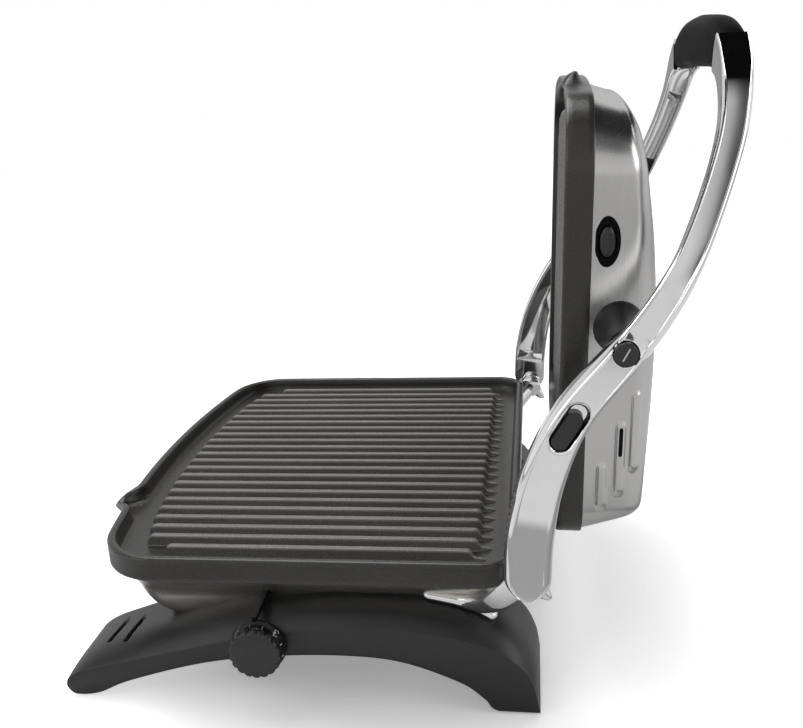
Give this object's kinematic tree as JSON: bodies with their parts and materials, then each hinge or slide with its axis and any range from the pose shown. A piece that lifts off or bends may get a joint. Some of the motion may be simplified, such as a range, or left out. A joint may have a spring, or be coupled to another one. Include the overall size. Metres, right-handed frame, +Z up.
{
  "type": "electric contact grill",
  "caption": "Electric indoor grill with two ribbed cast plates, a stainless domed lid on chrome arms with a loop grip, a side dial and an arched two-leg base, shown open.",
  "frame": {"origin": "on the table, under the middle of the grill", "axes": "+X to the user's right, +Y to the rear (towards the hinge), +Z up"},
  "size_m": [0.3398, 0.3754, 0.3577],
  "materials": {
    "base_plastic": "fine textured",
    "rubber": "matt",
    "grip_plastic": "matt",
    "stainless": "brushed",
    "nonstick": "speckled non-stick coating",
    "chrome": "polished",
    "steel": "plain",
    "tray": "bright",
    "bronze": "sintered",
    "white_plastic": "ceramic white"
  },
  "bodies": {
    "base": {"base_stand": "base_plastic", "bottom_cover": "base_plastic", "leg_cover_left": "base_plastic", "leg_cover_right": "base_plastic", "rubber_feet": "rubber", "cover_screws": "steel", "lower_housing": "stainless", "lower_plate": "nonstick", "lower_element": "steel", "lower_reflector": "tray", "lower_plate_clips": "steel", "thermostat": "white_plastic", "terminal_block": "white_plastic", "cord_gland": "base_plastic", "dial_pointer": "base_plastic", "hinge_bracket_left": "chrome", "hinge_bracket_right": "chrome", "bracket_screws": "steel", "hinge_pin_left": "steel", "hinge_pin_right": "steel"},
    "handle": {"arm_left": "chrome", "arm_right": "chrome", "grip": "grip_plastic", "grip_screws": "steel", "pivot_cap_left": "grip_plastic", "pivot_cap_right": "grip_plastic", "lid_bumpers": "rubber", "hinge_bush_left": "bronze", "hinge_bush_right": "bronze"},
    "lid": {"lid_housing": "stainless", "upper_plate": "nonstick", "upper_element": "steel", "upper_reflector": "tray", "upper_plate_clips": "steel", "pivot_boss_left": "grip_plastic", "pivot_boss_right": "grip_plastic", "pivot_pin_left": "steel", "pivot_pin_right": "steel", "button_bezel": "grip_plastic", "thermal_fuse": "white_plastic"},
    "slider": {"slot_slider": "grip_plastic"},
    "button": {"release_button": "grip_plastic"},
    "dial": {"dial_knob": "grip_plastic", "dial_shaft": "steel"}
  },
  "joints": [
    {"name": "handle_hinge", "type": "hinge", "parent": "base", "child": "handle", "pos_m": [0, 0.075, 0.0855], "axis": [1, 0, 0], "range_deg": [0, 91.5]},
    {"name": "lid_tilt", "type": "hinge", "parent": "handle", "child": "lid", "pos_m": [0, 0.11977, 0.20987], "axis": [1, 0, 0], "range_deg": [0, 2]},
    {"name": "slider_slide", "type": "slide", "parent": "handle", "child": "slider", "axis": [0, 0.5221, 0.8529], "range_m": [0, 0.003]},
    {"name": "button_press", "type": "slide", "parent": "lid", "child": "button", "axis": [-1, 0, 0], "range_m": [0, 0.0025], "stiffness_N_per_m": 300, "springref_m": -0.001},
    {"name": "dial_turn", "type": "hinge", "parent": "base", "child": "dial", "pos_m": [0.15, -0.073, 0.04], "axis": [1, 0, 0], "range_deg": [0, 270]}
  ]
}
